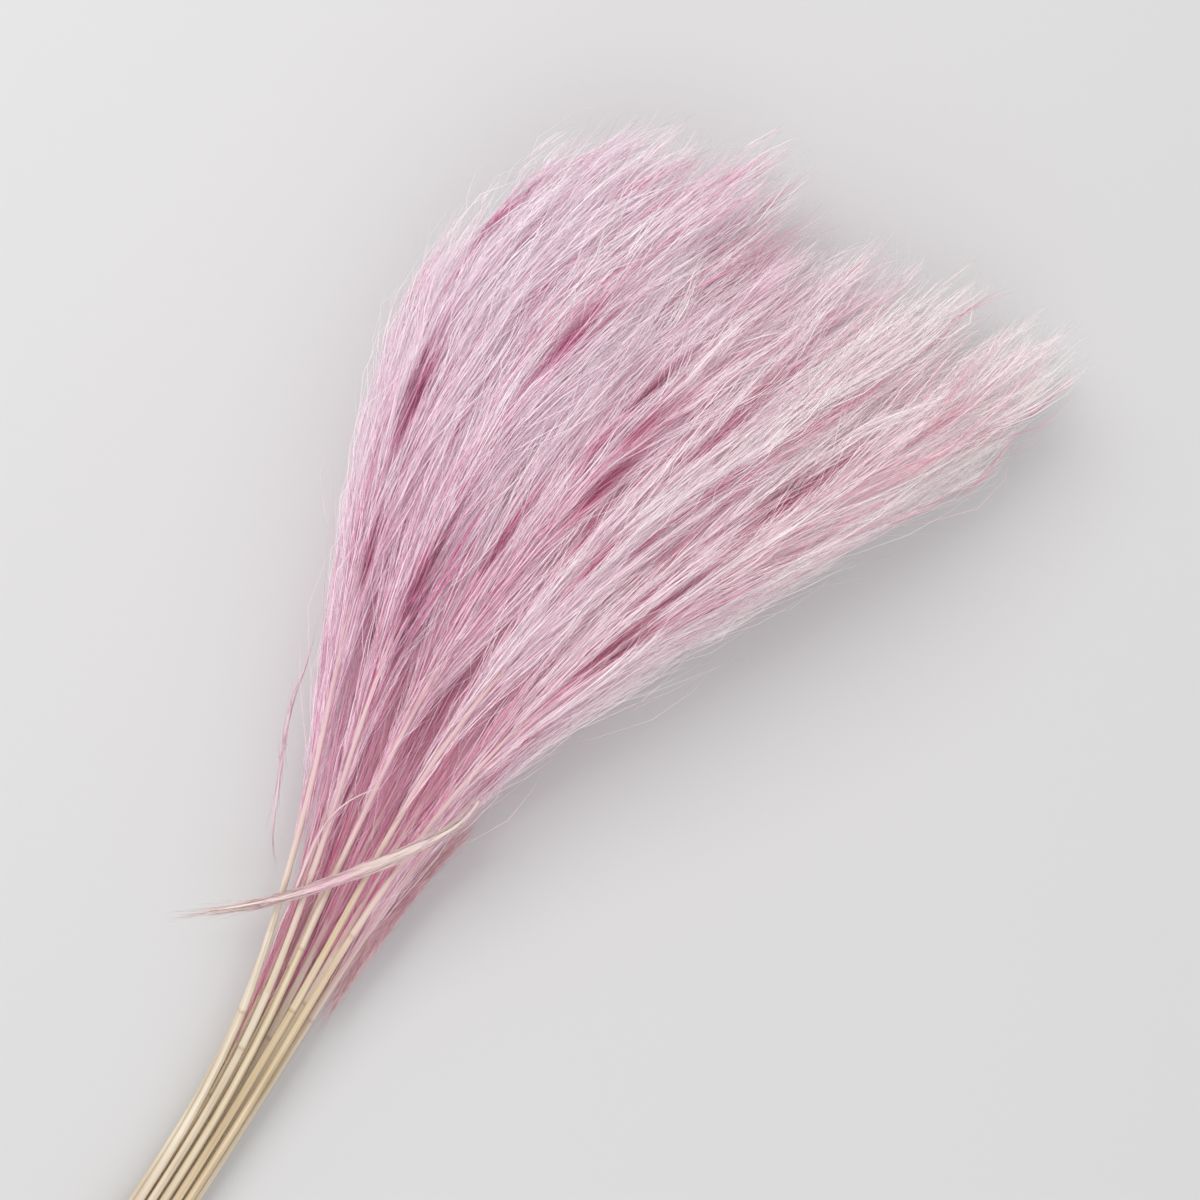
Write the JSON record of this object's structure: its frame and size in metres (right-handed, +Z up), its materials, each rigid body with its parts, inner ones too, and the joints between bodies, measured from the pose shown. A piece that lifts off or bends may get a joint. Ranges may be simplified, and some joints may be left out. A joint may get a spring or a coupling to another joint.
{
  "type": "dried reed bundle",
  "caption": "Bundle of dried reed stems with soft pink dyed plumes that fan out from a tied end, lying flat on a table.",
  "frame": {"origin": "centre of the bundle's box in plan, on the surface that it lies on", "axes": "+X along the bundle from the cut stem ends to the plume tips, +Z up, +Y to the left of the fan seen from above"},
  "size_m": [0.577, 0.2278, 0.0714],
  "materials": {
    "dyed_plume": "matte",
    "dried_stem": "satin",
    "dried_leaf": "matte",
    "elastic_band": "matte"
  },
  "bodies": {
    "root": {"stem_01": "dried_stem", "plume_01": "dyed_plume", "stem_02": "dried_stem", "plume_02": "dyed_plume", "stem_03": "dried_stem", "plume_03": "dyed_plume", "stem_04": "dried_stem", "plume_04": "dyed_plume", "stem_05": "dried_stem", "plume_05": "dyed_plume", "stem_06": "dried_stem", "plume_06": "dyed_plume", "stem_07": "dried_stem", "plume_07": "dyed_plume", "stem_08": "dried_stem", "plume_08": "dyed_plume", "stem_09": "dried_stem", "plume_09": "dyed_plume", "stem_10": "dried_stem", "plume_10": "dyed_plume", "stem_11": "dried_stem", "plume_11": "dyed_plume", "stem_12": "dried_stem", "plume_12": "dyed_plume", "stem_13": "dried_stem", "plume_13": "dyed_plume", "stem_14": "dried_stem", "plume_14": "dyed_plume", "stem_15": "dried_stem", "plume_15": "dyed_plume", "stem_16": "dried_stem", "plume_16": "dyed_plume", "leaf_crossing": "dried_leaf", "leaf_thread": "dried_leaf", "leaf_left_loop": "dried_leaf", "leaf_right_edge": "dried_leaf", "tie_band": "elastic_band"}
  },
  "joints": []
}
